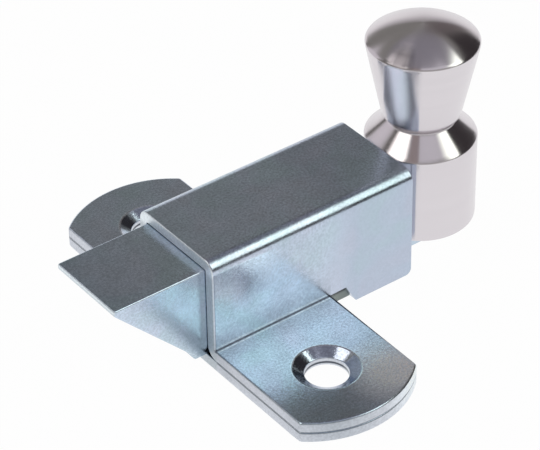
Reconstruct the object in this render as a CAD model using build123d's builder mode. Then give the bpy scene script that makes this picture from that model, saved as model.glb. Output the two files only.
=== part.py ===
from build123d import *
from math import tan, radians
import os

# Surface-mounted spring door bolt: a folded housing over a back plate, a bevelled bolt with a
# compression spring inside it, and a turned pull knob on the bolt's tail. The origin is on the
# mounting face midway between the screw holes, +Z points away from the door and -X is the way
# the bolt is thrown. Sizes in millimetres.

# sheet metal
sheet = 2.0  # housing and back plate
bend_inner = 0.3  # inside radius of the folds
bend_outer = bend_inner + sheet

# housing
housing_width = 20.4
housing_height = 21.6
housing_length = 41.6
ear_length = 24.0  # along the bolt
ear_span = 75.0  # tip to tip across the bolt
ear_straight = 65.7  # between the corners where the round ends start
ear_corner = 0.8
notch_length = 3.4  # relief behind each ear, at its top
notch_slant = 2.3  # how far the rear side of the relief leans back going down
wall_lift = 0.3  # the rear walls stop this far above the mounting face
wall_corner = 1.2

# screw holes
screw_pitch = 49.0
screw_hole = 7.4
countersink = 11.3
countersink_angle = 120
dimple_drop = 0.6  # the pressed countersink's lip stands this far below the ear
dimple_lip = 1.1  # width of the lip
dimple_lean = 0.4  # how much wider the lip is where it leaves the ear
dimple_room = 0.4  # between the lip and the wider hole that the back plate has for it

# fits
slide_clearance = 0.1  # bolt in the housing, on each side
fit_clearance = 0.1  # parts that drop into one another

# bolt
bolt_throw = 17.6  # how far the nose stands out of the housing
bolt_nose = 1.0  # height of the blunt nose
bolt_toe = 2.7  # the bevel ends this far in front of the housing
toe_land = 1.0  # upright part of the toe below the bevel
toe_radius = 0.6
bolt_edge = 0.3
spring_bore = 9.6
spring_depth = 10.4

# tail strip
tail_width = 12.0
tail_thickness = 1.5
tail_lap = 17.0  # length held under the bolt
tail_screw_pitch = 8.0
tail_screw_size = 3.0
tail_screw_head = 5.4
tail_screw_length = 4.0

# back plate's rear lug
window_room = 0.3  # beside and above the tail where it passes the lug
boss_diameter = 5.8  # centres the spring's rear end
boss_height = 1.0

# spring
wire = 0.8
wire_sides = 6  # a fine round wire would need too many facets
coil_diameter = 7.6
coil_turns = 6.5

# knob
knob_gap = 0.3  # between knob and housing when the bolt is thrown
knob_base = 19.5
knob_skirt_top = 20.0  # height above the mounting face
knob_neck = 12.0
neck_rise = 3.4
neck_ease = 0.35  # first step of the curve from the neck out to the grip
neck_ease_rise = 0.8
waist = 14.0
waist_rise = 1.8
knob_head = 19.5
grip_rise = 13.0
head_band = 0.6
head_dome = 3.2
knob_chamfer = 0.5
knob_thread = 4.0
knob_screw_head = 6.8
knob_screw_length = 12.0

# places that follow from the sizes above
half_width = housing_width / 2
inner_half = half_width - sheet
inner_top = housing_height - sheet
ear_top = 2 * sheet
dimple_radius = screw_hole / 2 + dimple_lip + dimple_lean
front = -ear_length / 2
ear_rear = ear_length / 2
rear = front + housing_length
lug_front = rear - sheet
bolt_half = inner_half - slide_clearance
bolt_top = inner_top - slide_clearance
bolt_bottom = sheet + slide_clearance
bolt_front = front - bolt_throw
bolt_rear = lug_front - slide_clearance - bolt_throw
tail_top = bolt_bottom + tail_thickness
spring_height = (tail_top + bolt_top) / 2
spring_seat = bolt_rear - spring_depth
knob_x = rear + knob_gap + knob_base / 2
screw_rear = bolt_rear - (tail_lap - tail_screw_pitch) / 2
screw_front = screw_rear - tail_screw_pitch


def ear_plan():
    """Plan of both ears and the strip between them, with round ends."""
    reach = ear_span / 2
    straight = ear_straight / 2
    with BuildSketch() as plan:
        with BuildLine():
            Line((front, -straight), (front, straight))
            ThreePointArc((front, straight), (0, reach), (ear_rear, straight))
            Line((ear_rear, straight), (ear_rear, -straight))
            ThreePointArc((ear_rear, -straight), (0, -reach), (front, -straight))
        make_face()
        fillet(plan.vertices(), ear_corner)
    return plan.sketch


def sunk_screw(x, length, size, head):
    """Slotted countersunk screw driven up into the tail, with its head flush underneath."""
    slot = head / 7
    with BuildPart() as screw:
        with BuildSketch(Plane((x, 0, bolt_bottom), x_dir=(1, 0, 0), z_dir=(0, -1, 0))):
            with BuildLine():
                Polyline(
                    (0, 0),
                    (head / 2, 0),
                    (size / 2, (head - size) / 2),
                    (size / 2, length),
                    (0, length),
                    close=True,
                )
            make_face()
        revolve(axis=Axis((x, 0, 0), (0, 0, 1)))
        with Locations((x, 0, bolt_bottom)):
            Box(head + 1, slot, slot, mode=Mode.SUBTRACT)
    return screw.part


def sunk_hole(x, size, head):
    """Countersunk hole through the tail strip, wider than its screw by the fit clearance."""
    with BuildPart() as hole:
        with Locations((x, 0, bolt_bottom)):
            Cylinder((size + fit_clearance) / 2, 4 * tail_thickness)
            Cone(
                head / 2 + fit_clearance / 2,
                size / 2,
                (head - size) / 2 + fit_clearance / 2,
                align=(Align.CENTER, Align.CENTER, Align.MIN),
            )
    return hole.part


os.makedirs("parts", exist_ok=True)

# housing: hat section with two ears, and plain walls behind them
with BuildPart() as housing:
    with BuildSketch(Plane.YZ.offset(front)) as hat:
        with BuildLine():
            Polyline(
                (-ear_span / 2, sheet),
                (-inner_half, sheet),
                (-inner_half, inner_top),
                (inner_half, inner_top),
                (inner_half, sheet),
                (ear_span / 2, sheet),
                (ear_span / 2, ear_top),
                (half_width, ear_top),
                (half_width, housing_height),
                (-half_width, housing_height),
                (-half_width, ear_top),
                (-ear_span / 2, ear_top),
                close=True,
            )
        make_face()
        near = hat.vertices().filter_by(lambda v: abs(v.X) < half_width + 1)
        shoulder = near.group_by(Axis.Y)
        fillet([*shoulder[0], *shoulder[-1]], bend_outer)
    extrude(amount=ear_length)
    creases = housing.edges().filter_by(Axis.X).filter_by(
        lambda e: abs(abs(e.center().Y) - half_width) < 0.01 and e.center().Z < ear_top + 0.1
    )
    fillet(creases, bend_inner)
    extrude(ear_plan(), amount=housing_height, mode=Mode.INTERSECT)
    with BuildSketch(Plane.YZ.offset(ear_rear)) as channel:
        with BuildLine():
            Polyline(
                (-half_width, wall_lift),
                (-half_width, housing_height),
                (half_width, housing_height),
                (half_width, wall_lift),
                (inner_half, wall_lift),
                (inner_half, inner_top),
                (-inner_half, inner_top),
                (-inner_half, wall_lift),
                close=True,
            )
        make_face()
        fillet(channel.vertices().group_by(Axis.Y)[-1], bend_outer)
    extrude(amount=rear - ear_rear)
    roof = housing.edges().filter_by(Axis.X).filter_by(
        lambda e: abs(abs(e.center().Y) - inner_half) < 0.01 and abs(e.center().Z - inner_top) < 0.01
    )
    fillet(roof, bend_inner)
    with BuildSketch(Plane.XZ):
        with BuildLine():
            Polyline(
                (ear_rear, 0),
                (ear_rear, ear_top),
                (ear_rear + notch_length, ear_top),
                (ear_rear + notch_length + notch_slant, 0),
                close=True,
            )
        make_face()
    extrude(amount=half_width + 1, both=True, mode=Mode.SUBTRACT)
    feet = housing.edges().filter_by(Axis.Y).filter_by(
        lambda e: e.center().X > rear - 0.1 and e.center().Z < wall_lift + 0.1
    )
    fillet(feet, wall_corner)
    with Locations((0, screw_pitch / 2, sheet), (0, -screw_pitch / 2, sheet)):
        Cone(
            screw_hole / 2 + dimple_lip,
            dimple_radius,
            dimple_drop,
            align=(Align.CENTER, Align.CENTER, Align.MAX),
        )
    with Locations((0, screw_pitch / 2, ear_top), (0, -screw_pitch / 2, ear_top)):
        CounterSinkHole(
            screw_hole / 2,
            countersink / 2,
            depth=2 * sheet,
            counter_sink_angle=countersink_angle,
        )
housing.part.label = "housing"
export_step(housing.part, "parts/housing.step")

# back plate: same plan as the ears, with a tongue between the walls turned up into a rear lug
window_half = tail_width / 2 + window_room
window_top = tail_top + window_room
plate_half = bolt_half
lug_top = inner_top
with BuildPart() as base_plate:
    extrude(ear_plan(), amount=sheet)
    with BuildSketch(Plane.XZ) as tongue:
        with BuildLine():
            Polyline(
                (0, 0),
                (rear, 0),
                (rear, lug_top - bend_inner),
                (lug_front, lug_top - bend_inner),
                (lug_front, sheet),
                (0, sheet),
                close=True,
            )
        make_face()
        fillet(tongue.vertices().sort_by(Axis.X)[-2:].sort_by(Axis.Y)[0], bend_outer)
    extrude(amount=plate_half, both=True)
    with BuildSketch(Plane.YZ.offset(lug_front - 1)):
        with Locations((0, sheet)):
            Rectangle(2 * window_half, window_top - sheet, align=(Align.CENTER, Align.MIN))
    extrude(amount=sheet + 2, mode=Mode.SUBTRACT)
    with Locations(Plane.YZ.offset(lug_front)):
        with Locations((0, spring_height, 0)):
            Cone(
                boss_diameter / 2, boss_diameter / 2 - boss_height / 2, boss_height,
                align=(Align.CENTER, Align.CENTER, Align.MAX), rotation=(180, 0, 0),
            )
    with Locations((0, screw_pitch / 2), (0, -screw_pitch / 2)):
        Cylinder(dimple_radius + dimple_room, 3 * sheet, mode=Mode.SUBTRACT)
base_plate.part.label = "base_plate"
export_step(base_plate.part, "parts/base_plate.step")

# latch bolt: block with a blunt nose, a bevel under it, a spring pocket and a seat for the tail
nose_low = bolt_top - bolt_nose
toe_x = front - bolt_toe
with BuildPart() as latch_bolt:
    with BuildSketch(Plane.XZ) as profile:
        with BuildLine():
            Polyline(
                (bolt_rear, bolt_bottom),
                (bolt_rear, bolt_top),
                (bolt_front, bolt_top),
                (bolt_front, nose_low),
                (toe_x, bolt_bottom + toe_land),
                (toe_x, bolt_bottom),
                close=True,
            )
        make_face()
        fillet(profile.vertices().group_by(Axis.Y)[0].sort_by(Axis.X)[0], toe_radius)
    extrude(amount=bolt_half, both=True)
    chamfer(latch_bolt.edges().filter_by(Axis.X), bolt_edge)
    with BuildSketch(Plane.YZ.offset(bolt_rear)):
        with Locations((0, spring_height)):
            Circle(spring_bore / 2)
    extrude(amount=-spring_depth, mode=Mode.SUBTRACT)
    with BuildSketch(Plane.XY.offset(bolt_bottom)):
        with Locations((bolt_rear, 0)):
            Rectangle(
                2 * (tail_lap + fit_clearance), tail_width + 2 * fit_clearance,
            )
    extrude(amount=tail_thickness, mode=Mode.SUBTRACT)
    with Locations((screw_front, 0, bolt_bottom), (screw_rear, 0, bolt_bottom)):
        Cylinder(
            (tail_screw_size + fit_clearance) / 2,
            tail_screw_length + fit_clearance,
            align=(Align.CENTER, Align.CENTER, Align.MIN),
            mode=Mode.SUBTRACT,
        )
latch_bolt.part.label = "latch_bolt"
export_step(latch_bolt.part, "parts/latch_bolt.step")

# tail strip: let into the bolt's underside, passes the lug's window and carries the knob
tail_front = bolt_rear - tail_lap
with BuildPart() as tail_strip:
    with BuildSketch(Plane.XY.offset(bolt_bottom)) as strip:
        with BuildLine():
            Line((tail_front, -tail_width / 2), (knob_x, -tail_width / 2))
            RadiusArc((knob_x, -tail_width / 2), (knob_x, tail_width / 2), -tail_width / 2)
            Line((knob_x, tail_width / 2), (tail_front, tail_width / 2))
            Line((tail_front, tail_width / 2), (tail_front, -tail_width / 2))
        make_face()
    extrude(amount=tail_thickness)
    add(sunk_hole(screw_front, tail_screw_size, tail_screw_head), mode=Mode.SUBTRACT)
    add(sunk_hole(screw_rear, tail_screw_size, tail_screw_head), mode=Mode.SUBTRACT)
    add(sunk_hole(knob_x, knob_thread, knob_screw_head), mode=Mode.SUBTRACT)
tail_strip.part.label = "tail_strip"
export_step(tail_strip.part, "parts/tail_strip.step")

with BuildPart() as tail_screw_front:
    add(sunk_screw(screw_front, tail_screw_length, tail_screw_size, tail_screw_head))
tail_screw_front.part.label = "tail_screw_front"
export_step(tail_screw_front.part, "parts/tail_screw_front.step")

with BuildPart() as tail_screw_rear:
    add(sunk_screw(screw_rear, tail_screw_length, tail_screw_size, tail_screw_head))
tail_screw_rear.part.label = "tail_screw_rear"
export_step(tail_screw_rear.part, "parts/tail_screw_rear.step")

# spring: from the bottom of the bolt's pocket to the back plate's lug
spring_front = spring_seat + fit_clearance
spring_length = lug_front - spring_front
with BuildPart() as spring:
    with BuildLine() as coil:
        Helix(
            pitch=(spring_length - wire) / coil_turns,
            height=spring_length - wire,
            radius=coil_diameter / 2,
            center=(spring_front + wire / 2, 0, spring_height),
            direction=(1, 0, 0),
        )
    with BuildSketch(Plane(coil.line @ 0, z_dir=coil.line % 0)):
        RegularPolygon(wire / 2, wire_sides)
    sweep(path=coil.line, is_frenet=True)
spring.part.label = "spring"
export_step(spring.part, "parts/spring.step")

# knob: skirt, neck, flared grip and domed head turned in one piece, tapped from below
knob_foot = tail_top
neck_low = knob_skirt_top
neck_high = neck_low + neck_rise
waist_z = neck_high + waist_rise
grip_top = waist_z + grip_rise
band_top = grip_top + head_band
with BuildPart() as knob:
    with BuildSketch(Plane((knob_x, 0, 0), x_dir=(1, 0, 0), z_dir=(0, -1, 0))):
        with BuildLine():
            Polyline(
                (0, band_top + head_dome),
                (0, knob_foot),
                (knob_base / 2 - knob_chamfer, knob_foot),
                (knob_base / 2, knob_foot + knob_chamfer),
                (knob_base / 2, neck_low),
                (knob_neck / 2, neck_high),
                (knob_neck / 2 + neck_ease, neck_high + neck_ease_rise),
                (waist / 2, waist_z),
                (knob_head / 2, grip_top),
                (knob_head / 2, band_top),
            )
            TangentArc((0, band_top + head_dome), (knob_head / 2, band_top), tangent=(1, 0))
        make_face()
    revolve(axis=Axis((knob_x, 0, 0), (0, 0, 1)))
    with Locations((knob_x, 0, bolt_bottom)):
        Cylinder(
            (knob_thread + fit_clearance) / 2,
            knob_screw_length + fit_clearance,
            align=(Align.CENTER, Align.CENTER, Align.MIN),
            mode=Mode.SUBTRACT,
        )
knob.part.label = "knob"
export_step(knob.part, "parts/knob.step")

with BuildPart() as knob_screw:
    add(sunk_screw(knob_x, knob_screw_length, knob_thread, knob_screw_head))
knob_screw.part.label = "knob_screw"
export_step(knob_screw.part, "parts/knob_screw.step")
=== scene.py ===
import bpy
import bmesh
import math
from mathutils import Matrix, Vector


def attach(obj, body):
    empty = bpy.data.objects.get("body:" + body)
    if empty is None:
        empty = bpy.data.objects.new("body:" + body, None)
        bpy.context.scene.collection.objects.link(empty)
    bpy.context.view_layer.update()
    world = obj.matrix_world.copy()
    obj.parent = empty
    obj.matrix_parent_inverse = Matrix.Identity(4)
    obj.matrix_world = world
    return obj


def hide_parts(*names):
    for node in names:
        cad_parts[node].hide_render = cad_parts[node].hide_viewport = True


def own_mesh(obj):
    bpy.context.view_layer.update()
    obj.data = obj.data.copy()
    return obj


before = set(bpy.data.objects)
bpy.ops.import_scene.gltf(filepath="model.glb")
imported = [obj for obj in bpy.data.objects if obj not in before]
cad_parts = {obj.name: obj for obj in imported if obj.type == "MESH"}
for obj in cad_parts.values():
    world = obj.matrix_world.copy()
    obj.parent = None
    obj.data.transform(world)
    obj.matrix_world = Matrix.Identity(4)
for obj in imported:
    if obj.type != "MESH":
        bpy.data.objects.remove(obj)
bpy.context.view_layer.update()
scene = bpy.context.scene

# Sizes in millimetres, as the solids have them; meshes are scaled to metres when they are made.
MM = 0.001
GAP = 0.1  # between pieces that slide or drop into one another
PAST = 1  # how far a cutting shape reaches past what it cuts
OVER_ALL = 30  # a height above every sheet metal piece
CLOSE = 0.1  # how near a place counts as being on an edge

# The housing: folded sheet, open at the front and at the bottom.
SHEET = 2.0
BEND = 2.3  # outer radius of each fold
CREASE = 0.3  # inner radius of the folds along the roof
WALL_OUT = 10.2
WALL_IN = WALL_OUT - SHEET
TOP = 21.6
ROOF = TOP - SHEET  # the roof's underside
FRONT = -12.0
REAR = 29.6
LIFT = 0.3  # from the door to the walls behind the ears
HEEL = 1.2  # radius of the walls' lower rear corners

# The ears, their relief notches and their pressed countersinks.
EAR_REAR = 12.0
EAR_TIP = 37.5
EAR_STRAIGHT = 32.85  # where the straight sides end and the round tip begins
EAR_TOP = 2 * SHEET
EAR_CORNER = 0.8
NOTCH = 3.4
NOTCH_SLANT = 2.3
SCREW_Y = 24.5
HOLE = 3.7  # radius
SINK = 5.65  # radius of the cone at the ear's upper face
SINK_LOW = EAR_TOP - (SINK - HOLE) * math.tan(math.radians(30))
LIP_Z = 1.4  # underside of the pressed lip
LIP_LOW = 4.8  # the lip's radius at its underside
LIP_TOP = 5.2  # and where it leaves the sheet

# The back plate and its lug, bent up inside the housing's end.
PLATE_HOLE = 5.6  # radius, wider than the lip pressed into it
LUG_FRONT = REAR - SHEET
LUG_TOP = ROOF - 0.3
WINDOW_HALF = 6.3
WINDOW_TOP = 3.9

# The bolt, with the seat of the tail strip below and the spring's pocket behind.
BOLT_HALF = WALL_IN - GAP
BOLT_LOW = SHEET + GAP
BOLT_TOP = ROOF - GAP
BOLT_TIP = -29.6
BOLT_REAR = 9.9
NOSE = 1.0  # upright height above the bevel
TOE_X = FRONT - 2.7  # where the bevel ends, in front of the housing
TOE_LAND = 1.0  # upright height below the bevel
TOE_ROUND = 0.6
POCKET = 4.8
POCKET_DEPTH = 10.4
TAIL_TOP = 3.6
TAIL_LAP = 17.1  # how far the tail strip reaches under the bolt
SEAT_HALF = 6.1

# The spring.
SPRING_Z = 11.55
SPRING_FRONT = -0.4
WIRE = 0.8
COIL = 3.8
COIL_TURNS = 6.5

# The knob: skirt, neck, waist, flared grip, band and crown, from its foot upwards.
KNOB_X = 39.65
KNOB_R = 9.75
SKIRT_TOP = 20.0
NECK = 6.0
NECK_TOP = 23.4
WAIST = 7.0
WAIST_Z = 25.2
GRIP_TOP = 38.2
BAND_TOP = 38.8
APEX = 42.0
TAPPED = 2.05  # radius of the screw's hole in the knob's foot
TAPPED_TOP = 14.2

# Widths of the eased edges; WIDEST is what a weight of 1 stands for.
WIDEST = 0.5
EASE_SHEET = 0.16
EASE_SINK = 0.22
EASE_FRONT = 0.3
EASE_EAR = 0.42
EASE_PLATE = 0.14
EASE_PLATE_FOOT = 0.4
EASE_BLOCK = 0.34


def new_piece(name, verts, faces):
    """Object at the origin from points in millimetres."""
    mesh = bpy.data.meshes.new(name)
    mesh.from_pydata([tuple(c * MM for c in v) for v in verts], [], faces)
    mesh.update()
    piece = bpy.data.objects.new(name, mesh)
    scene.collection.objects.link(piece)
    return piece


def rounded(corners, turn=7.5):
    """Closed outline through (u, v, radius) corners, each rounded with an arc in steps of turn."""
    points = []
    count = len(corners)
    for i, (u, v, radius) in enumerate(corners):
        here = Vector((u, v))
        if radius <= 0:
            points.append((u, v))
            continue
        back = Vector(corners[i - 1][:2]) - here
        ahead = Vector(corners[(i + 1) % count][:2]) - here
        back.normalize()
        ahead.normalize()
        half = back.angle(ahead) / 2
        reach = radius / math.tan(half)
        start = here + back * reach
        end = here + ahead * reach
        centre = here + (back + ahead).normalized() * (radius / math.sin(half))
        steps = max(2, round(math.degrees(math.pi - 2 * half) / turn))
        a = math.atan2(start.y - centre.y, start.x - centre.x)
        b = math.atan2(end.y - centre.y, end.x - centre.x)
        sweep = (b - a + math.pi) % (2 * math.pi) - math.pi
        for k in range(steps + 1):
            t = a + sweep * k / steps
            points.append((centre.x + radius * math.cos(t), centre.y + radius * math.sin(t)))
    return points


def prism(name, outline, low, high, along):
    """Outline pushed from low to high along an axis: (y, z) for X, (x, z) for Y, (x, y) for Z."""
    place = {
        "X": lambda u, v, w: (w, u, v),
        "Y": lambda u, v, w: (u, w, v),
        "Z": lambda u, v, w: (u, v, w),
    }[along]
    n = len(outline)
    verts = [place(u, v, low) for u, v in outline] + [place(u, v, high) for u, v in outline]
    faces = [list(range(n)), list(range(2 * n - 1, n - 1, -1))]
    faces += [[i, n + i, n + (i + 1) % n, (i + 1) % n] for i in range(n)]
    piece = new_piece(name, verts, faces)
    outward(piece)
    return piece


def lathe(name, profile, x, y, steps=96):
    """Profile of (radius, z) points turned about the upright line through x, y."""
    verts = []
    rings = []
    for radius, z in profile:
        if radius < 1e-6:
            rings.append([len(verts)])
            verts.append((x, y, z))
        else:
            rings.append(list(range(len(verts), len(verts) + steps)))
            for k in range(steps):
                t = 2 * math.pi * k / steps
                verts.append((x + radius * math.cos(t), y + radius * math.sin(t), z))
    faces = []
    for low, high in zip(rings, rings[1:]):
        for k in range(steps):
            j = (k + 1) % steps
            if len(low) == 1 and len(high) > 1:
                faces.append([low[0], high[j], high[k]])
            elif len(high) == 1 and len(low) > 1:
                faces.append([low[k], low[j], high[0]])
            elif len(low) > 1:
                faces.append([low[k], low[j], high[j], high[k]])
    piece = new_piece(name, verts, faces)
    outward(piece)
    return piece


def outward(piece, merge=1e-7):
    """Merge points that lie together and turn every face outwards."""
    bm = bmesh.new()
    bm.from_mesh(piece.data)
    bmesh.ops.remove_doubles(bm, verts=bm.verts, dist=merge)
    bmesh.ops.recalc_face_normals(bm, faces=bm.faces)
    bm.to_mesh(piece.data)
    bm.free()


def settle(piece):
    """Turn the piece's modifiers into plain mesh."""
    bpy.context.view_layer.update()
    graph = bpy.context.evaluated_depsgraph_get()
    mesh = bpy.data.meshes.new_from_object(piece.evaluated_get(graph))
    piece.modifiers.clear()
    piece.data = mesh


def combine(piece, other, operation):
    """Join the other shape to the piece or cut it away, and drop it."""
    joiner = piece.modifiers.new("join", "BOOLEAN")
    joiner.operation = operation
    joiner.solver = "EXACT"
    joiner.object = other
    settle(piece)
    bpy.data.objects.remove(other)


def ease_edges(piece, width_at, segments=3, angle=25):
    """Round each edge that turns by more than angle; width_at gives the width for its middle."""
    bm = bmesh.new()
    bm.from_mesh(piece.data)
    bmesh.ops.remove_doubles(bm, verts=bm.verts, dist=2e-6)
    bmesh.ops.dissolve_limit(bm, angle_limit=math.radians(0.3), verts=bm.verts, edges=bm.edges)
    share = bm.edges.layers.float.new("bevel_weight_edge")
    for edge in bm.edges:
        if len(edge.link_faces) == 2 and edge.calc_face_angle() > math.radians(angle):
            middle = (edge.verts[0].co + edge.verts[1].co) / (2 * MM)
            edge[share] = width_at(*middle, edge.is_convex) / WIDEST
    bm.to_mesh(piece.data)
    bm.free()
    bevel = piece.modifiers.new("ease", "BEVEL")
    bevel.width = WIDEST * MM
    bevel.segments = segments
    bevel.limit_method = "WEIGHT"
    bevel.miter_outer = "MITER_ARC"
    bevel.use_clamp_overlap = False
    settle(piece)
    outward(piece, 3e-5)
    for face in piece.data.polygons:
        face.use_smooth = True
    piece.data.set_sharp_from_angle(angle=math.radians(40))
    weigh = piece.modifiers.new("weigh", "WEIGHTED_NORMAL")
    weigh.mode = "FACE_AREA"
    weigh.weight = 50
    weigh.keep_sharp = True
    weigh.thresh = 0
    settle(piece)


def ear_plan(between=()):
    """Outline of both ears from above; between holds the corners of a tongue in its rear edge."""
    radius = (EAR_REAR ** 2 + (EAR_TIP - EAR_STRAIGHT) ** 2) / (2 * (EAR_TIP - EAR_STRAIGHT))
    centre = EAR_TIP - radius
    reach = math.asin(EAR_REAR / radius)
    steps = 40
    arc = []
    for k in range(1, steps):
        t = -reach + 2 * reach * k / steps
        arc.append((radius * math.sin(t), centre + radius * math.cos(t), 0))
    far = [(FRONT, EAR_STRAIGHT, EAR_CORNER), *arc, (EAR_REAR, EAR_STRAIGHT, EAR_CORNER)]
    near = [(-u, -v, r) for u, v, r in far]
    return rounded([*far, *between, *near], turn=10)


def countersunk(piece, y):
    """Pressed countersink: a lip pushed down below the ear, and a cone and a hole through it."""
    inside_ear = SHEET + 0.5
    dimple = [
        (0, LIP_Z), (LIP_LOW, LIP_Z), (LIP_TOP, SHEET), (LIP_TOP, inside_ear), (0, inside_ear),
    ]
    combine(piece, lathe("dimple", dimple, 0, y), "UNION")
    above = EAR_TOP + PAST
    drill = [
        (0, -PAST), (HOLE, -PAST), (HOLE, SINK_LOW), (SINK, EAR_TOP), (SINK, above), (0, above),
    ]
    combine(piece, lathe("drill", drill, 0, y), "DIFFERENCE")


def ears_and_walls():
    """Cross-section of the housing at the ears."""
    beyond = EAR_TIP + PAST
    return rounded([
        (-beyond, SHEET, 0),
        (-WALL_IN, SHEET, BEND),
        (-WALL_IN, ROOF, CREASE),
        (WALL_IN, ROOF, CREASE),
        (WALL_IN, SHEET, BEND),
        (beyond, SHEET, 0),
        (beyond, EAR_TOP, 0),
        (WALL_OUT, EAR_TOP, 0),
        (WALL_OUT, TOP, BEND),
        (-WALL_OUT, TOP, BEND),
        (-WALL_OUT, EAR_TOP, 0),
        (-beyond, EAR_TOP, 0),
    ])


def walls_alone():
    """Cross-section of the housing behind the ears, where the walls come down to the door."""
    return rounded([
        (-WALL_OUT, LIFT, 0),
        (-WALL_OUT, TOP, BEND),
        (WALL_OUT, TOP, BEND),
        (WALL_OUT, LIFT, 0),
        (WALL_IN, LIFT, 0),
        (WALL_IN, ROOF, CREASE),
        (-WALL_IN, ROOF, CREASE),
        (-WALL_IN, LIFT, 0),
    ])


def heel_outline():
    """What is cut off the rear walls' lower corners to round them."""
    steps = 12
    points = [(REAR - HEEL, LIFT)]
    for step in range(1, steps + 1):
        t = math.radians(-90 + 90 * step / steps)
        points.append((REAR - HEEL + HEEL * math.cos(t), LIFT + HEEL + HEEL * math.sin(t)))
    return points + [(REAR + PAST, LIFT + HEEL), (REAR + PAST, LIFT - 1), (REAR - HEEL, LIFT - 1)]


def shell_width(x, y, z, convex):
    """The ears' upper edge is well rounded, and the front end of the walls and roof eased more."""
    if not convex:
        return 0
    if abs(y) > WALL_OUT + 0.5 and z > EAR_TOP - CLOSE:
        return EASE_SINK if math.hypot(x, abs(y) - SCREW_Y) < SINK + 0.3 else EASE_EAR
    outer = abs(y) > WALL_OUT - CLOSE or z > TOP - BEND
    inner = z < ROOF + CLOSE and abs(y) < WALL_IN + CLOSE
    front = x < FRONT + CLOSE and z > EAR_TOP
    return EASE_FRONT if front and outer and not inner else EASE_SHEET


def folded_housing():
    """A hat section cut to the ears' outline, with walls alone behind it, notched and drilled."""
    shell = prism("housing_shell", ears_and_walls(), FRONT, EAR_REAR, "X")
    combine(shell, prism("plan", ear_plan(), -PAST, OVER_ALL, "Z"), "INTERSECT")
    combine(shell, prism("walls", walls_alone(), EAR_REAR, REAR, "X"), "UNION")
    notch = [
        (EAR_REAR, -PAST),
        (EAR_REAR, EAR_TOP),
        (EAR_REAR + NOTCH, EAR_TOP),
        (EAR_REAR + NOTCH + NOTCH_SLANT, 0),
        (EAR_REAR + NOTCH + NOTCH_SLANT, -PAST),
    ]
    across = WALL_OUT + PAST
    combine(shell, prism("notch", notch, -across, across, "Y"), "DIFFERENCE")
    combine(shell, prism("heel", heel_outline(), -across, across, "Y"), "DIFFERENCE")
    countersunk(shell, SCREW_Y)
    countersunk(shell, -SCREW_Y)
    ease_edges(shell, shell_width)
    return shell


def plate_width(x, y, z, convex):
    """The edge against the door is well rounded at the ears and left sharp along the tongue."""
    tongue_foot = x > EAR_REAR + CLOSE and z < SHEET - CLOSE
    lug_bend = x > REAR - SHEET / 2 and z < BEND + 2 * CLOSE
    if not convex or tongue_foot or lug_bend:
        return 0
    return EASE_PLATE_FOOT if abs(y) > BOLT_HALF + 0.5 and z < CLOSE else EASE_PLATE


def lugged_plate():
    """The back plate: a bent strip as wide as both ears, cut to their outline and a tongue."""
    strip = rounded([
        (FRONT - PAST, 0, 0),
        (REAR, 0, BEND),
        (REAR, LUG_TOP, 0),
        (LUG_FRONT, LUG_TOP, 0),
        (LUG_FRONT, SHEET, 0),
        (FRONT - PAST, SHEET, 0),
    ])
    tongue = [
        (EAR_REAR, BOLT_HALF, 0),
        (REAR + PAST, BOLT_HALF, 0),
        (REAR + PAST, -BOLT_HALF, 0),
        (EAR_REAR, -BOLT_HALF, 0),
    ]
    plate = prism("back_plate", strip, -EAR_TIP - PAST, EAR_TIP + PAST, "Y")
    combine(plate, prism("plan", ear_plan(tongue), -PAST, OVER_ALL, "Z"), "INTERSECT")
    window = [
        (LUG_FRONT - PAST, SHEET),
        (LUG_FRONT - PAST, WINDOW_TOP),
        (REAR + PAST, WINDOW_TOP),
        (REAR + PAST, SHEET),
    ]
    combine(plate, prism("window", window, -WINDOW_HALF, WINDOW_HALF, "Y"), "DIFFERENCE")
    above = EAR_TOP + PAST
    hole = [(0, -PAST), (PLATE_HOLE, -PAST), (PLATE_HOLE, above), (0, above)]
    for y in (-SCREW_Y, SCREW_Y):
        combine(plate, lathe("drill", hole, 0, y), "DIFFERENCE")
    ease_edges(plate, plate_width)
    return plate


def bevelled_bolt():
    """The sliding block, with the tail strip's seat below and the spring's pocket in its rear."""
    side_view = rounded([
        (BOLT_REAR, BOLT_LOW, 0),
        (BOLT_REAR, BOLT_TOP, 0),
        (BOLT_TIP, BOLT_TOP, 0),
        (BOLT_TIP, BOLT_TOP - NOSE, 0),
        (TOE_X, BOLT_LOW + TOE_LAND, 0),
        (TOE_X, BOLT_LOW, TOE_ROUND),
    ])
    block = prism("bolt_block", side_view, -BOLT_HALF, BOLT_HALF, "Y")
    seat = [
        (BOLT_REAR - TAIL_LAP, -PAST),
        (BOLT_REAR + PAST, -PAST),
        (BOLT_REAR + PAST, TAIL_TOP),
        (BOLT_REAR - TAIL_LAP, TAIL_TOP),
    ]
    combine(block, prism("seat", seat, -SEAT_HALF, SEAT_HALF, "Y"), "DIFFERENCE")
    steps = 48
    pocket = []
    for step in range(steps):
        t = 2 * math.pi * step / steps
        pocket.append((POCKET * math.cos(t), SPRING_Z + POCKET * math.sin(t)))
    bottom = BOLT_REAR - POCKET_DEPTH
    combine(block, prism("pocket", pocket, bottom, BOLT_REAR + PAST, "X"), "DIFFERENCE")
    ease_edges(block, lambda x, y, z, convex: EASE_BLOCK if convex else 0)
    return block


def straight(start, end, steps):
    """Points after start on the straight line to end."""
    return [
        (start[0] + (end[0] - start[0]) * k / steps, start[1] + (end[1] - start[1]) * k / steps)
        for k in range(1, steps + 1)
    ]


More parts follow.
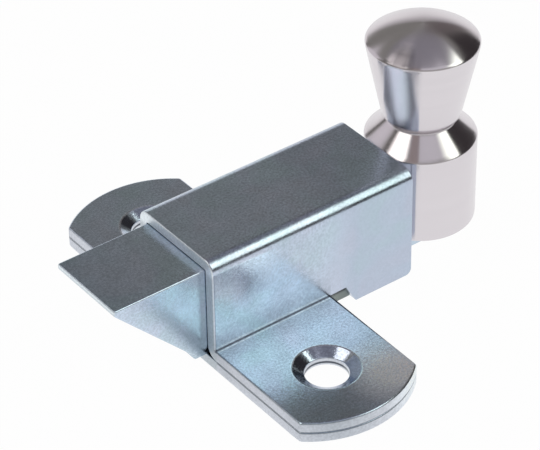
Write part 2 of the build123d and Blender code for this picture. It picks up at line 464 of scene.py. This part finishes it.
def knob_profile():
    """Radius and height of the turned knob, from the middle of its foot up to its crown."""
    foot = TAIL_TOP
    r = KNOB_R
    points = [(0, foot)]
    points += [(r - 0.5, foot), (r - 0.2, foot + 0.08), (r - 0.04, foot + 0.28), (r, foot + 0.6)]
    points += [(r, z) for z in (6, 9, 12, 15, 18, SKIRT_TOP - 0.2)]
    points += [(r - 0.03, SKIRT_TOP - 0.06), (r - 0.14, SKIRT_TOP + 0.1)]
    points += straight(points[-1], (NECK + 0.08, NECK_TOP - 0.08), 6)
    neck_r, neck_z = NECK + 0.02, NECK_TOP + 0.08
    steps = 8
    for k in range(steps + 1):
        t = k / steps
        swell = 1 - (1 - t) ** 1.7
        points.append((neck_r + (WAIST - neck_r) * swell, neck_z + (WAIST_Z - neck_z) * t))
    points += straight((WAIST, WAIST_Z), (r - 0.03, GRIP_TOP - 0.1), 8)
    points += [(r, GRIP_TOP + 0.1), (r, BAND_TOP - 0.15), (r - 0.06, BAND_TOP - 0.02)]
    crown = APEX - BAND_TOP
    radius = (r ** 2 + crown ** 2) / (2 * crown)
    rim = math.asin((r - 0.2) / radius)
    steps = 24
    for k in range(steps):
        t = rim * (1 - k / steps)
        points.append((radius * math.sin(t), APEX - radius + radius * math.cos(t)))
    points.append((0, APEX))
    return points


def turned_knob():
    """The knob, with a tapped hole up through its foot."""
    knob = lathe("pull_knob", knob_profile(), KNOB_X, 0, steps=160)
    bore = [(0, SHEET), (TAPPED, SHEET), (TAPPED, TAPPED_TOP), (0, TAPPED_TOP)]
    combine(knob, lathe("bore", bore, KNOB_X, 0, steps=32), "DIFFERENCE")
    for face in knob.data.polygons:
        face.use_smooth = True
    knob.data.set_sharp_from_angle(angle=math.radians(24))
    return knob


def coil_tree():
    """Node group that winds a round wire into a coil standing on the origin."""
    tree = bpy.data.node_groups.new("coil", "GeometryNodeTree")
    for label, kind in (
        ("Turns", "NodeSocketFloat"),
        ("Length", "NodeSocketFloat"),
        ("Coil radius", "NodeSocketFloat"),
        ("Wire radius", "NodeSocketFloat"),
        ("Finish", "NodeSocketMaterial"),
    ):
        tree.interface.new_socket(label, in_out="INPUT", socket_type=kind)
    tree.interface.new_socket("Geometry", in_out="OUTPUT", socket_type="NodeSocketGeometry")
    given = tree.nodes.new("NodeGroupInput")
    made = tree.nodes.new("NodeGroupOutput")
    helix = tree.nodes.new("GeometryNodeCurveSpiral")
    helix.inputs["Resolution"].default_value = 36
    ring = tree.nodes.new("GeometryNodeCurvePrimitiveCircle")
    ring.inputs["Resolution"].default_value = 14
    tube = tree.nodes.new("GeometryNodeCurveToMesh")
    tube.inputs["Fill Caps"].default_value = True
    whole = tree.nodes.new("GeometryNodeRealizeInstances")
    paint = tree.nodes.new("GeometryNodeSetMaterial")
    link = tree.links.new
    link(given.outputs["Turns"], helix.inputs["Rotations"])
    link(given.outputs["Length"], helix.inputs["Height"])
    link(given.outputs["Coil radius"], helix.inputs["Start Radius"])
    link(given.outputs["Coil radius"], helix.inputs["End Radius"])
    link(given.outputs["Wire radius"], ring.inputs["Radius"])
    link(helix.outputs["Curve"], tube.inputs["Curve"])
    link(ring.outputs["Curve"], tube.inputs["Profile Curve"])
    link(tube.outputs["Mesh"], whole.inputs["Geometry"])
    link(whole.outputs["Geometry"], paint.inputs["Geometry"])
    link(given.outputs["Finish"], paint.inputs["Material"])
    link(paint.outputs["Geometry"], made.inputs["Geometry"])
    return tree


def set_input(modifier, tree, label, value):
    """Set the group's input that has this label."""
    for item in tree.interface.items_tree:
        if item.item_type == "SOCKET" and item.in_out == "INPUT" and item.name == label:
            modifier[item.identifier] = value


def wound_spring(finish):
    """The coil, wound upright and then laid along X from the bolt's pocket to the lug."""
    spring = new_piece("coil_spring", [(0, 0, 0)], [])
    coil = coil_tree()
    wind = spring.modifiers.new("wind", "NODES")
    wind.node_group = coil
    set_input(wind, coil, "Turns", COIL_TURNS)
    set_input(wind, coil, "Length", (LUG_FRONT - SPRING_FRONT - WIRE) * MM)
    set_input(wind, coil, "Coil radius", COIL * MM)
    set_input(wind, coil, "Wire radius", WIRE / 2 * MM)
    set_input(wind, coil, "Finish", finish)
    settle(spring)
    for vertex in spring.data.vertices:
        x, y, z = vertex.co
        vertex.co = (z + (SPRING_FRONT + WIRE / 2) * MM, x, y + SPRING_Z * MM)
    outward(spring)
    for face in spring.data.polygons:
        face.use_smooth = True
    return spring


class Nodes:
    """Short ways to make and join the nodes of one tree."""

    def __init__(self, tree):
        self.tree = tree

    def node(self, kind, **settings):
        made = self.tree.nodes.new(kind)
        for key, value in settings.items():
            setattr(made, key, value)
        return made

    def link(self, a, b):
        self.tree.links.new(a, b)

    def feed(self, socket, value):
        """Give a socket a number, a colour or another node's output."""
        if isinstance(value, (int, float)):
            socket.default_value = value
        elif isinstance(value, tuple):
            socket.default_value = (*value, 1)
        elif value is not None:
            self.link(value, socket)

    def math(self, operation, a, b=None):
        made = self.node("ShaderNodeMath", operation=operation)
        self.feed(made.inputs[0], a)
        self.feed(made.inputs[1], b)
        return made.outputs[0]

    def both(self, *shares):
        """All of the shares multiplied."""
        total = shares[0]
        for share in shares[1:]:
            total = self.math("MULTIPLY", total, share)
        return total

    def remap(self, value, low, high, to_low, to_high, curve="LINEAR"):
        """Bring low..high to to_low..to_high, and hold the ends outside it."""
        made = self.node("ShaderNodeMapRange", interpolation_type=curve)
        made.inputs["From Min"].default_value = low
        made.inputs["From Max"].default_value = high
        made.inputs["To Min"].default_value = to_low
        made.inputs["To Max"].default_value = to_high
        self.link(value, made.inputs["Value"])
        return made.outputs["Result"]

    def split(self, vector):
        """X, Y and Z of a vector."""
        made = self.node("ShaderNodeSeparateXYZ")
        self.link(vector, made.inputs[0])
        return made.outputs["X"], made.outputs["Y"], made.outputs["Z"]


class Shader(Nodes):
    """A Principled material whose patterns read Object coordinates in millimetres."""

    def __init__(self, name, roughness=0.3):
        self.material = bpy.data.materials.new(name)
        self.material.use_nodes = True
        super().__init__(self.material.node_tree)
        self.surface = self.tree.nodes["Principled BSDF"]
        self.surface.inputs["Metallic"].default_value = 1.0
        self.surface.inputs["Roughness"].default_value = roughness
        coords = self.node("ShaderNodeTexCoord")
        scale = self.node("ShaderNodeVectorMath", operation="SCALE")
        scale.inputs["Scale"].default_value = 1 / MM
        self.link(coords.outputs["Object"], scale.inputs[0])
        self.place = scale.outputs[0]
        self.facing = coords.outputs["Normal"]

    def stretch(self, sx, sy, sz, at=(0, 0, 0)):
        """The place scaled along each axis and moved; a small scale draws a pattern out."""
        mapping = self.node("ShaderNodeMapping")
        mapping.inputs["Location"].default_value = at
        mapping.inputs["Scale"].default_value = (sx, sy, sz)
        self.link(self.place, mapping.inputs["Vector"])
        return mapping.outputs["Vector"]

    def noise(self, size, detail=4, rough=0.55, vector=None, warp=0.0):
        """Noise with features about size millimetres wide."""
        made = self.node("ShaderNodeTexNoise")
        made.inputs["Scale"].default_value = 1 / size
        made.inputs["Detail"].default_value = detail
        made.inputs["Roughness"].default_value = rough
        made.inputs["Distortion"].default_value = warp
        self.link(vector or self.place, made.inputs["Vector"])
        return made.outputs["Fac"]

    def ramp(self, value, *stops):
        made = self.node("ShaderNodeValToRGB")
        ramp = made.color_ramp
        while len(ramp.elements) < len(stops):
            ramp.elements.new(0.5)
        for element, (at, colour) in zip(ramp.elements, stops):
            element.position = at
            element.color = (*colour, 1)
        self.link(value, made.inputs["Fac"])
        return made.outputs["Color"]

    def mix(self, a, b, factor, blend="MIX"):
        made = self.node("ShaderNodeMix", data_type="RGBA", blend_type=blend)
        for value, socket in ((factor, made.inputs[0]), (a, made.inputs[6]), (b, made.inputs[7])):
            self.feed(socket, value)
        return made.outputs[2]

    def add(self, a, b, share=1.0):
        """a with a share of b added."""
        made = self.node("ShaderNodeMath", operation="MULTIPLY_ADD")
        self.link(b, made.inputs[0])
        made.inputs[1].default_value = share
        self.link(a, made.inputs[2])
        return made.outputs[0]

    def near(self, point, reach, soft):
        """1 within reach of a point in millimetres, falling to 0 over soft."""
        away = self.node("ShaderNodeVectorMath", operation="DISTANCE")
        away.inputs[1].default_value = point
        self.link(self.place, away.inputs[0])
        return self.remap(away.outputs["Value"], reach, reach + soft, 1, 0)

    def bump(self, height, distance):
        made = self.node("ShaderNodeBump")
        made.inputs["Strength"].default_value = 1.0
        made.inputs["Distance"].default_value = distance * MM
        self.link(height, made.inputs["Height"])
        self.link(made.outputs["Normal"], self.surface.inputs["Normal"])

    def colour(self, value):
        self.link(value, self.surface.inputs["Base Color"])

    def roughness(self, value):
        self.link(value, self.surface.inputs["Roughness"])


# Tones of the blue-bright plating, and of the light and shade painted on it.
CLOUDS = (
    (0.36, (0.475, 0.575, 0.66)),
    (0.5, (0.49, 0.565, 0.675)),
    (0.64, (0.505, 0.56, 0.67)),
)
GRAIN = ((0.36, (0.62, 0.62, 0.62)), (0.64, (1.0, 1.0, 1.0)))
STRENGTH = (1.14, 1.14, 1.14)
CUT = (0.55, 0.60, 0.64)
# painted highlight on the upper part of the sheared front face
CUT_HIGHLIGHT = (0.78, 0.84, 0.88)
RIM = (0.63, 0.66, 0.72)
SEAM = (0.07, 0.08, 0.10)
# painted shade, a painted line of shade and a painted highlight along the folds into the ears
FOLD_SHADE = (0.25, 0.30, 0.35)
FOLD_SHADE_LINE = (0.15, 0.15, 0.18)
FOLD_LIT = (0.75, 0.78, 0.82)
# painted shade inside the housing and on the tongue's side in the notch
INSIDE_SHADE = (0.17, 0.19, 0.19)
TONGUE_SIDE_SHADE = (0.46, 0.52, 0.48)
TONGUE_SHADOW_LINE = (0.06, 0.07, 0.08)
REAR_WALL = (0.88, 0.88, 0.89)
SINK_HIGHLIGHT = (0.85, 0.92, 0.97)
# painted light on the bolt's sides and painted shade on its top, towards the nose
NOSE_SIDE_LIGHT = (1.13, 1.14, 1.13)
NOSE_TOP_SHADE = (0.90, 0.93, 0.95)
DARKER_PATCH = (0.20, 0.25, 0.29)
PALER_PATCH = (0.95, 1.02, 1.08)

# Soft darker and paler patches on the near wall and the near ear: middle, reach, softness, share
# and tone.
SOFT_PATCHES = (
    ((-3.6, -WALL_OUT, 15.7), 0.4, 2.2, 0.12, DARKER_PATCH),
    ((-9.6, -WALL_OUT, 17.0), 0.3, 1.8, 0.14, DARKER_PATCH),
    ((-6, -33.5, EAR_TOP), 3, 5, 0.35, DARKER_PATCH),
    ((8, -31.5, EAR_TOP), 3, 6, 0.9, PALER_PATCH),
)


class Zinc(Shader):
    """Blue-bright plating: a pale blue metal with faint cyan and pink clouds and a fine grain.

    Sheared gives the lowest X of the piece, whose cut face is duller. What a piece has of its own
    is painted over this, and finish then gives the material.
    """

    def __init__(self, name, sheared, shift=(0, 0, 0)):
        super().__init__(name)
        shifted = self.stretch(1, 1, 1, at=shift)
        cloud = self.noise(size=9, detail=2, rough=0.5, vector=shifted, warp=0.5)
        self.tone = self.ramp(cloud, *CLOUDS)
        self.along, across, self.height = self.split(self.place)
        self.side = self.math("ABSOLUTE", across)
        self.lean = self.split(self.facing)[2]
        self.upward = self.remap(self.lean, 0.5, 0.9, 0, 1)
        self.cut = self.remap(self.along, sheared, sheared + 0.2, 1, 0)
        self.paint(CUT, self.cut)
        # painted highlight along the sheared face just under the roof
        self.paint(CUT_HIGHLIGHT, self.both(self.cut, self.remap(self.height, ROOF - 1, ROOF, 0, 1)))
        self.rough = self.remap(self.noise(size=3.5, detail=3), 0.35, 0.65, 0.2, 0.27)

    def paint(self, tone, share, blend="MIX"):
        """Lay a tone over the colour so far, where share is above 0."""
        self.tone = self.mix(self.tone, tone, share, blend)

    def finish(self):
        """Lay the grain over everything and give the material."""
        grain = self.ramp(self.noise(size=0.4, detail=2, rough=0.5), *GRAIN)
        coarse = self.remap(self.along, EAR_REAR - 2, EAR_REAR + 2, 0.4, 0.12)
        self.paint(grain, self.math("MAXIMUM", self.both(self.upward, 0.62), coarse), "MULTIPLY")
        self.paint(STRENGTH, 1.0, "MULTIPLY")
        self.colour(self.tone)
        self.roughness(self.add(self.rough, self.cut, 0.25))
        fine = self.noise(size=0.32, detail=2, rough=0.6)
        broad = self.noise(size=0.8, detail=2, rough=0.5)
        self.bump(self.add(fine, broad, 0.8), 0.014)
        return self.material


def paint_rims(s):
    """Pale sheared rims of the ears, with the dark seam between the two sheets."""
    upright = s.remap(s.math("ABSOLUTE", s.lean), 0.3, 0.5, 1, 0)
    rim = s.both(upright, s.remap(s.side, WALL_OUT + 0.3, WALL_OUT + 0.6, 0, 1))
    s.paint(RIM, rim)
    from_seam = s.math("ABSOLUTE", s.math("SUBTRACT", s.height, SHEET))
    s.paint(SEAM, s.both(s.remap(from_seam, 0.1, 0.3, 1, 0), rim))
    s.cut = s.math("MAXIMUM", s.cut, rim)


def paint_folds(s, beside):
    """Painted shade, a thin painted line of shade and a thin painted highlight where the walls turn
    into the ears.
    """
    out = s.math("SUBTRACT", s.side, WALL_OUT)
    rise = s.math("SUBTRACT", s.height, EAR_TOP)
    apart = s.math("MAXIMUM", s.math("ABSOLUTE", out), s.math("ABSOLUTE", rise))
    s.paint(FOLD_SHADE, s.both(s.remap(apart, 0, 5, 0.4, 0), beside))
    s.paint(FOLD_SHADE_LINE, s.both(s.remap(apart, 0.04, 0.32, 0.8, 0), beside))
    lit = s.both(s.remap(out, 0.3, 0.4, 0, 0.8), s.remap(out, 0.5, 0.65, 1, 0), beside)
    s.paint(FOLD_LIT, s.both(lit, s.upward))


def paint_inside(s, beside):
    """Painted shade on the plate inside the housing, and on the tongue's side in the open notch."""
    inside = s.both(
        s.remap(s.height, SHEET, SHEET + 0.1, 1, 0),
        s.remap(s.side, WALL_IN + 0.1, WALL_IN, 0, 1),
        s.remap(s.along, FRONT + 0.3, FRONT + 0.5, 0, 1),
    )
    notch_end = EAR_REAR + NOTCH + NOTCH_SLANT + 0.3
    shown = s.both(inside, s.remap(s.along, notch_end, notch_end + 0.2, 1, 0))
    # painted shade on the plate inside the housing
    s.paint(INSIDE_SHADE, s.both(inside, beside))
    # painted shade on the tongue's side in the notch: a darker tone, made nearly non-metallic, with
    # a painted dark line of shadow along its top
    notch_shade = s.both(shown, s.remap(s.along, EAR_REAR, EAR_REAR + 0.1, 0, 1))
    s.paint(TONGUE_SIDE_SHADE, notch_shade)
    s.paint(TONGUE_SHADOW_LINE, s.both(notch_shade, s.remap(s.height, 1.3, 1.8, 0, 0.9)))
    s.link(s.remap(notch_shade, 0, 1, 1, 0.1), s.surface.inputs["Metallic"])


def paint_countersinks(s):
    """Smoother cones, each with a painted highlight ring along its upper edge."""
    across = s.math("POWER", s.math("SUBTRACT", s.side, SCREW_Y), 2)
    away = s.math("SQRT", s.math("ADD", s.both(s.along, s.along), across))
    s.rough = s.add(s.rough, s.remap(away, SINK, SINK + 0.1, 1, 0), -0.13)
    ring = s.both(
        s.remap(away, SINK - 0.25, SINK - 0.1, 0, 0.5),
        s.remap(away, SINK + 0.15, SINK + 0.35, 1, 0),
    )
    # painted highlight on the upward-facing ring at each cone's upper edge
    s.paint(SINK_HIGHLIGHT, s.both(ring, s.upward))


def folded_zinc(name):
    """Plating of the sheet metal, a little darker behind the ears."""
    s = Zinc(name, sheared=FRONT)
    beside = s.remap(s.along, EAR_REAR, EAR_REAR + 0.1, 1, 0)
    paint_rims(s)
    paint_folds(s, beside)
    paint_inside(s, beside)
    s.paint(REAR_WALL, s.remap(s.along, EAR_REAR - 1, EAR_REAR + 5, 0, 1), "MULTIPLY")
    for point, reach, soft, share, shade in SOFT_PATCHES:
        s.paint(shade, s.both(s.near(point, reach, soft), share))
    paint_countersinks(s)
    return s.finish()


def solid_zinc(name):
    """Plating of the bolt, with painted light on its sides and painted shade on its top towards the
    nose.
    """
    s = Zinc(name, sheared=BOLT_TIP, shift=(55, 20, 8))
    sideways = s.remap(s.upward, 0, 1, 1, 0)
    # painted light on the sides and painted shade on the top, towards the nose
    s.paint(NOSE_SIDE_LIGHT, s.both(s.remap(s.along, -24, -14, 1, 0), sideways), "MULTIPLY")
    s.paint(NOSE_TOP_SHADE, s.both(s.remap(s.along, -28, -16, 1, 0), s.upward), "MULTIPLY")
    return s.finish()


def bright(name, tone, rough, size=0.5):
    """Plain bright steel, mottled a little."""
    s = Shader(name, roughness=rough)
    mottle = s.remap(s.noise(4 * size), 0.35, 0.65, 0, 0.6)
    darker = tuple(0.72 * c for c in tone)
    s.colour(s.mix(tone, darker, mottle))
    s.bump(s.noise(size, detail=3), 0.01)
    return s.material


def turned(name):
    """Turned aluminium: fine rings round the axis, which draw reflections out along the meridian.

    A painted dark reflection streak lies on the crown's rim, on the side towards the housing.
    """
    s = Shader(name, roughness=0.2)
    upwards = s.stretch(0.02, 0.02, 1)
    rings = s.noise(size=0.2, detail=2, rough=0.6, vector=upwards)
    broad = s.noise(size=1.3, detail=2, rough=0.5, vector=upwards)
    stops = ((0.45, (0.694, 0.659, 0.689)), (0.85, (0.706, 0.671, 0.701)))
    tone = s.ramp(s.add(broad, rings, 0.35), *stops)
    along, across, height = s.split(s.place)
    round_about = s.math("ARCTAN2", across, s.math("SUBTRACT", along, KNOB_X))
    # painted dark reflection on the crown's rim
    streak = s.both(
        s.remap(round_about, -3.05, -2.8, 0, 1),
        s.remap(round_about, -2.6, -2.4, 1, 0),
        s.remap(height, BAND_TOP - 0.1, BAND_TOP, 0, 0.8),
        s.remap(height, BAND_TOP + 1.3, BAND_TOP + 2.2, 1, 0),
    )
    s.colour(s.mix(tone, (0.11, 0.1, 0.11), streak))
    s.bump(rings, 0.0015)
    s.surface.inputs["Anisotropic"].default_value = 0.85
    s.surface.inputs["Anisotropic Rotation"].default_value = 0.25
    tangent = s.node("ShaderNodeTangent", direction_type="RADIAL", axis="Z")
    s.link(tangent.outputs["Tangent"], s.surface.inputs["Tangent"])
    return s.material


def finish_piece(piece, material, body, slot, *nodes):
    """Give a piece its material and say which body it rides on and which solids it stands for."""
    piece.data.materials.clear()
    piece.data.materials.append(material)
    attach(piece, body)
    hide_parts(*nodes)


shell = folded_housing()
plate = lugged_plate()
block = bevelled_bolt()
knob = turned_knob()

sheet_finish = folded_zinc("plated_sheet")
block_finish = solid_zinc("plated_block")
knob_finish = turned("knob_aluminium")
wire_finish = bright("spring_wire", (0.42, 0.43, 0.45), 0.3)
screw_finish = bright("screw_steel", (0.58, 0.59, 0.6), 0.28)

spring = wound_spring(wire_finish)

finish_piece(shell, sheet_finish, "case", "plated_sheet", "housing")
finish_piece(plate, sheet_finish, "case", "plated_sheet", "base_plate")
finish_piece(block, block_finish, "bolt", "plated_block", "latch_bolt")
finish_piece(knob, knob_finish, "bolt", "knob_aluminium", "knob")
finish_piece(spring, wire_finish, "case", "spring_steel", "spring")
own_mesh(spring)

# The rest is shown as the solids are, in the same finishes.
for node, material in (
    ("tail_strip", block_finish),
    ("tail_screw_front", screw_finish),
    ("tail_screw_rear", screw_finish),
    ("knob_screw", screw_finish),
):
    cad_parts[node].data.materials.clear()
    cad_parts[node].data.materials.append(material)


def lit_white(name, share, tone):
    """Pale surface that the camera sees as nearly white and that still takes a shadow."""
    material = bpy.data.materials.new(name)
    material.use_nodes = True
    s = Nodes(material.node_tree)
    s.tree.nodes.clear()
    matt = s.node("ShaderNodeBsdfDiffuse")
    matt.inputs["Color"].default_value = (tone, tone, tone, 1)
    glow = s.node("ShaderNodeEmission")
    glow.inputs["Strength"].default_value = 1.0
    path = s.node("ShaderNodeLightPath")
    seen = s.math("MAXIMUM", path.outputs["Is Camera Ray"], path.outputs["Is Glossy Ray"])
    blend = s.node("ShaderNodeMixShader")
    s.link(s.both(seen, share), blend.inputs["Fac"])
    s.link(matt.outputs[0], blend.inputs[1])
    s.link(glow.outputs[0], blend.inputs[2])
    out = s.node("ShaderNodeOutputMaterial")
    s.link(blend.outputs[0], out.inputs["Surface"])
    return material


FLOOR_HALF = 3000
FLOOR_Z = -0.05
floor_corners = [
    (-FLOOR_HALF, -FLOOR_HALF, FLOOR_Z),
    (FLOOR_HALF, -FLOOR_HALF, FLOOR_Z),
    (FLOOR_HALF, FLOOR_HALF, FLOOR_Z),
    (-FLOOR_HALF, FLOOR_HALF, FLOOR_Z),
]
floor = new_piece("floor", floor_corners, [[0, 1, 2, 3]])
floor.data.materials.append(lit_white("floor_white", 0.98, 0.9))

# How the camera looks at the object, and where it stands.
azimuth, elevation, roll = (math.radians(a) for a in (-36.623, 36.739, -0.927))
CAMERA_PLACE = (-208.96, -290.82, 285.45)


class Studio(Nodes):
    """White room with soft panels, laid out in degrees by bearing and by height above the floor.

    A bearing of 0 is behind the camera, 90 to the right of the picture and 180 ahead of the camera.
    """

    def __init__(self):
        world = bpy.data.worlds.new("studio")
        scene.world = world
        world.use_nodes = True
        super().__init__(world.node_tree)
        self.tree.nodes.clear()
        coords = self.node("ShaderNodeTexCoord")
        unit = self.node("ShaderNodeVectorMath", operation="NORMALIZE")
        self.link(coords.outputs["Generated"], unit.inputs[0])
        self.toward = self.dot(unit.outputs[0], (math.sin(azimuth), -math.cos(azimuth), 0))
        self.aside = self.dot(unit.outputs[0], (math.cos(azimuth), math.sin(azimuth), 0))
        self.rise = self.dot(unit.outputs[0], (0, 0, 1))
        turn = self.math("ARCTAN2", self.aside, self.toward)
        self.bearing = self.math("MULTIPLY", turn, 180 / math.pi)
        self.height = self.math("MULTIPLY", self.math("ARCSINE", self.rise), 180 / math.pi)
        self.light = None

    def dot(self, a, vector):
        made = self.node("ShaderNodeVectorMath", operation="DOT_PRODUCT")
        self.link(a, made.inputs[0])
        made.inputs[1].default_value = vector
        return made.outputs["Value"]

    def step(self, value, at, soft):
        """0 below at, 1 above it, over a width of soft; turned round where soft is negative."""
        low, high = (0, 1) if soft > 0 else (1, 0)
        half = abs(soft) / 2
        return self.remap(value, at - half, at + half, low, high, "SMOOTHSTEP")

    def window(self, value, low, high, soft):
        """1 between low and high, with soft edges; soft may be a pair, one for each edge."""
        soft_low, soft_high = soft if isinstance(soft, tuple) else (soft, soft)
        return self.both(self.step(value, low, soft_low), self.step(value, high, -soft_high))

    def lay(self, share, tone):
        """Lay a tone over what is there already; the first one laid is the ground."""
        made = self.node("ShaderNodeMix", data_type="RGBA")
        self.feed(made.inputs[7], tone)
        self.link(share, made.inputs[0])
        self.feed(made.inputs[6], tone if self.light is None else self.light)
        self.light = made.outputs[2]

    def panel(self, bearings, heights, tone, soft, soft_height):
        """Lay a tone over a range of bearings and heights."""
        across = self.window(self.bearing, *bearings, soft)
        self.lay(self.both(across, self.window(self.height, *heights, soft_height)), tone)

    def finish(self):
        """Light the room with what was laid, and show the camera plain white."""
        out = self.node("ShaderNodeOutputWorld")
        room = self.node("ShaderNodeBackground")
        white = self.node("ShaderNodeBackground")
        white.inputs["Color"].default_value = (1, 1, 1, 1)
        path = self.node("ShaderNodeLightPath")
        seen = self.node("ShaderNodeMixShader")
        self.link(self.light, room.inputs["Color"])
        self.link(path.outputs["Is Camera Ray"], seen.inputs["Fac"])
        self.link(room.outputs[0], seen.inputs[1])
        self.link(white.outputs[0], seen.inputs[2])
        self.link(seen.outputs[0], out.inputs["Surface"])


WHITE = (2.05, 2.15, 1.93)
NEAR_WHITE = (0.97, 0.95, 0.95)
DARK_STRIP = (0.08, 0.07, 0.07)

# Bearings, heights, tone, and softness across and upwards. Later ones lie over earlier ones.
PANELS = (
    # the camera's own side, and the pale and the dim part of the ceiling above it
    ((-60, 60), (-5, 40), (0.45, 0.44, 0.43), 20, 14),
    ((-8, 75), (47, 72), (0.70, 0.68, 0.72), 4, 10),
    ((-36, -8), (44, 66), (0.32, 0.26, 0.25), 4, 10),
    # a pale wall on the left, a dim and a dark one on the right
    ((-132, -96), (3, 39), (0.74, 0.71, 0.74), 4, 8),
    ((150, 174), (8, 52), (0.15, 0.13, 0.13), 8, 8),
    ((60, 148), (2, 47), (0.04, 0.034, 0.036), 5, 8),
    # narrow dark gaps on the left
    ((-94, -84), (30, 50), DARK_STRIP, 3, 8),
    ((-142, -135), (-4, 14), DARK_STRIP, 3, 6),
    # two bright windows high on the left
    ((-84, -41), (36, 62), (2.4, 2.32, 2.2), 2, 4),
    ((-112, -72), (53, 75), (1.85, 1.78, 1.74), 4, 3),
)

studio = Studio()
studio.lay(studio.step(studio.height, -100, 1), (0.230, 0.225, 0.209))
studio.lay(studio.step(studio.height, 54, 10), (0.255, 0.245, 0.275))
for panel in PANELS:
    studio.panel(*panel)

# A slanting white bar on the right, placed as if it lay on a level ceiling.
overhead = studio.math("MAXIMUM", studio.rise, 0.05)
slant = studio.math("SUBTRACT", studio.toward, studio.math("MULTIPLY", studio.aside, 0.516))
slant = studio.math("DIVIDE", slant, overhead)
reach = studio.math("DIVIDE", studio.aside, overhead)
bar = studio.both(
    studio.window(slant, -0.62, 0.05, (0.06, 0.4)), studio.window(reach, 0.62, 2.1, (0.12, 0.2))
)
studio.lay(bar, WHITE)

# The pale end of the room ahead of the camera, and the floor's white below the horizon.
studio.lay(studio.step(studio.toward, -0.885, -0.06), (0.55, 0.53, 0.54))
studio.lay(studio.step(studio.toward, -0.945, -0.06), NEAR_WHITE)
either_way = studio.math("ABSOLUTE", studio.bearing)
low_end = studio.both(studio.step(either_way, 140, 6), studio.step(studio.height, 11, -12))
studio.lay(low_end, NEAR_WHITE)
studio.lay(studio.step(studio.height, 1, -4), (0.97, 0.96, 0.96))
studio.finish()

camera = bpy.data.objects.new("camera", bpy.data.cameras.new("camera"))
scene.collection.objects.link(camera)
camera.data.sensor_width = 36
camera.data.lens = 181.03
camera.data.clip_start = 0.01
camera.data.clip_end = 20
flat = math.cos(elevation)
back = Vector((math.sin(azimuth) * flat, -math.cos(azimuth) * flat, math.sin(elevation)))
right = Vector((math.cos(azimuth), math.sin(azimuth), 0))
up = back.cross(right)
turned_right = right * math.cos(roll) + up * math.sin(roll)
turned_up = up * math.cos(roll) - right * math.sin(roll)
pose = camera.matrix_world.copy()
for row in range(3):
    pose[row][0] = turned_right[row]
    pose[row][1] = turned_up[row]
    pose[row][2] = back[row]
    pose[row][3] = CAMERA_PLACE[row] * MM
camera.matrix_world = pose
scene.camera = camera

scene.view_settings.view_transform = "Standard"
